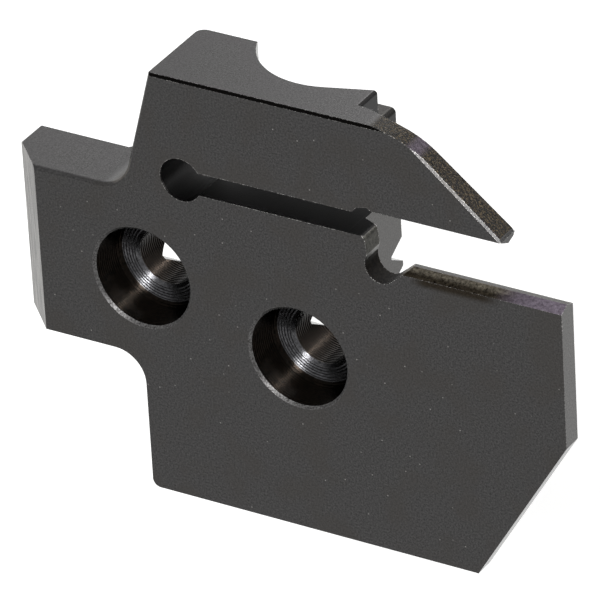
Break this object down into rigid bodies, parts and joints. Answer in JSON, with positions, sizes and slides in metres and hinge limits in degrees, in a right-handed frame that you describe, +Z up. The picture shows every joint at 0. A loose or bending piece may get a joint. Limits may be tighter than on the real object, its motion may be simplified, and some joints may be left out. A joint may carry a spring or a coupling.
{
  "type": "grooving blade",
  "caption": "Flat grooving blade with a slotted clamping jaw, V ridged insert pocket, counterbored screw holes and serrated back.",
  "frame": {"origin": "on the rear screw's axis, in the plane of the front face, at the mouth of its counterbore", "axes": "+X towards the cutting end, +Y from the front face through the steel to the serrated back, +Z up"},
  "size_m": [0.0582, 0.0093, 0.0442],
  "materials": {
    "black_oxide_steel": "black oxide over fine ground steel, satin, with brighter ground bevels"
  },
  "bodies": {
    "root": {"blade_body": "black_oxide_steel"}
  },
  "joints": []
}
